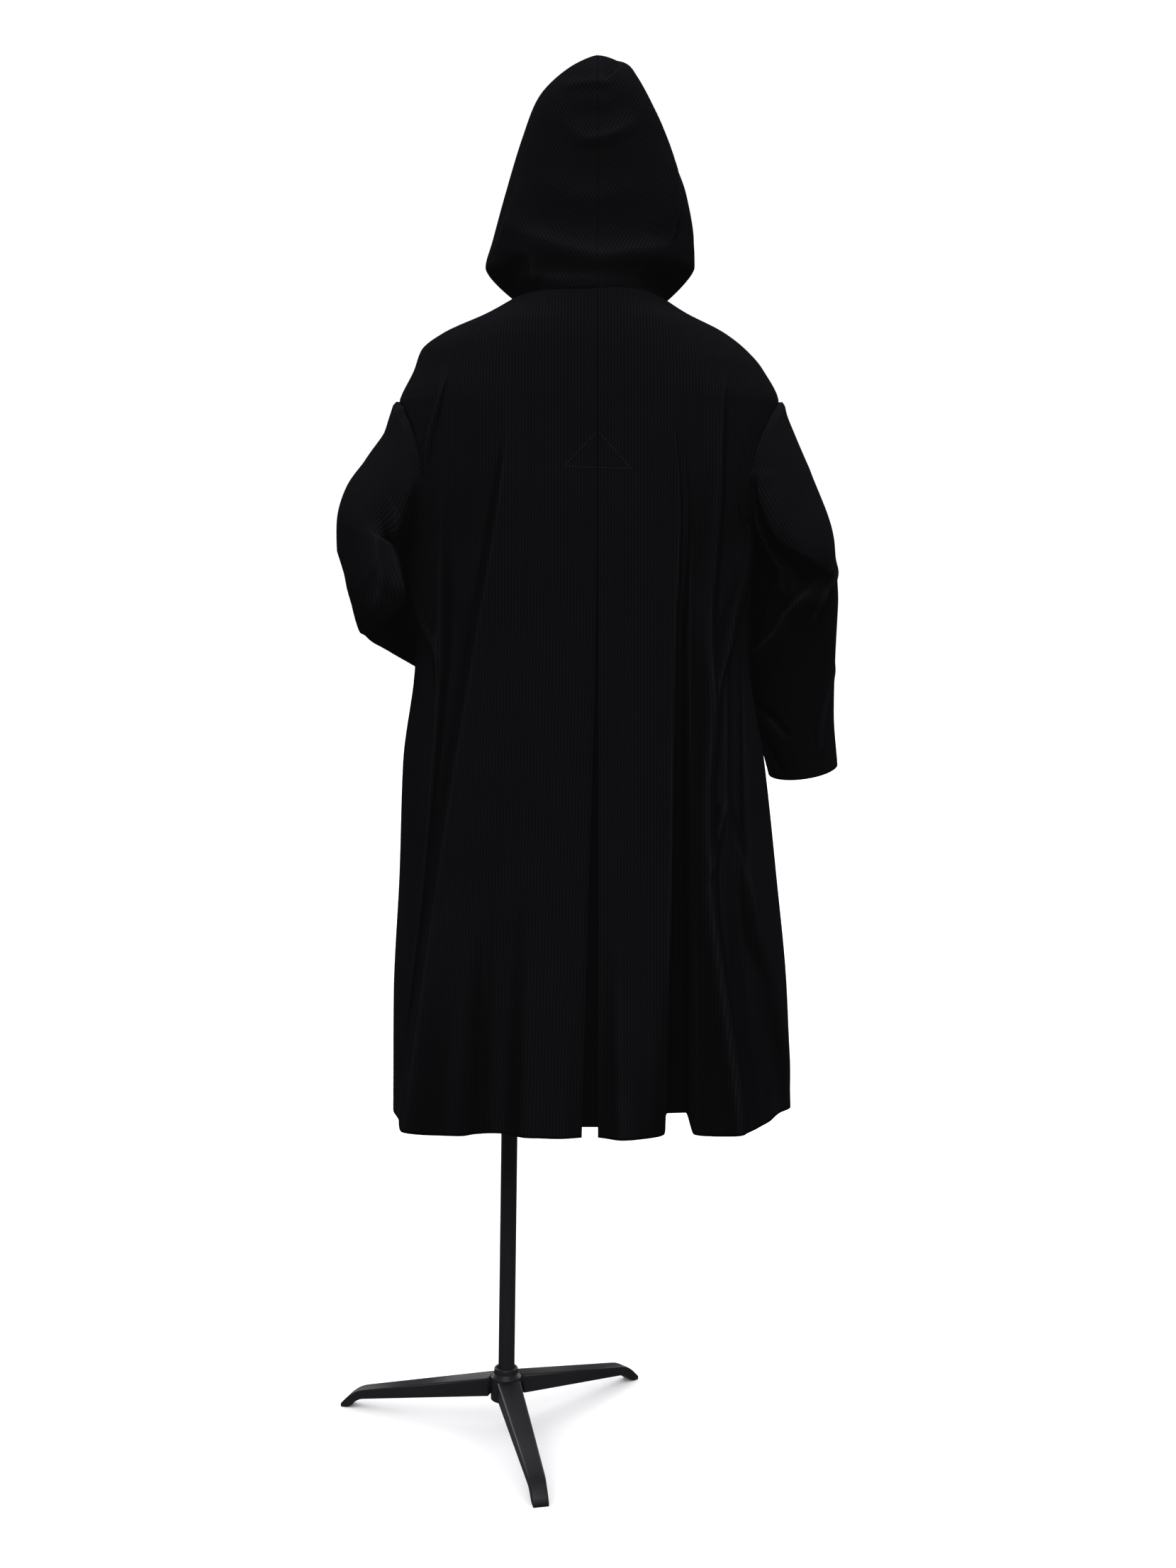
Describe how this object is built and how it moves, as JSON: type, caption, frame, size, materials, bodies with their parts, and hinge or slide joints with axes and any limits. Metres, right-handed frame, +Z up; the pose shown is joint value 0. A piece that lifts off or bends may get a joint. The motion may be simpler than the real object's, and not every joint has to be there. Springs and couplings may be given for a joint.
{
  "type": "hooded coat on a dress form stand",
  "caption": "Long hooded coat of fine black corduroy, back pleat open below a stitched triangle, hood up, on a limbless dress form with a three-legged metal stand.",
  "frame": {"origin": "on the floor, under the middle of the whole part's outline seen from above", "axes": "+Z up, the coat's front faces -Y and its back +Y, +X is the wearer's left"},
  "size_m": [0.6988, 0.4698, 1.848],
  "materials": {
    "corduroy": "matt fine-wale corduroy",
    "form_shell": "plain covered shell",
    "stand_metal": "dark satin paint"
  },
  "bodies": {
    "root": {"back_left": "corduroy", "back_right": "corduroy", "front_left": "corduroy", "front_right": "corduroy", "pleat_underlay": "corduroy", "pocket_left": "corduroy", "pocket_right": "corduroy", "sleeve_left": "corduroy", "sleeve_right": "corduroy", "hood_left": "corduroy", "hood_right": "corduroy", "dress_form": "form_shell", "form_base": "form_shell", "pole": "stand_metal", "hub": "stand_metal", "leg_left": "stand_metal", "leg_back": "stand_metal", "leg_right": "stand_metal"}
  },
  "joints": []
}
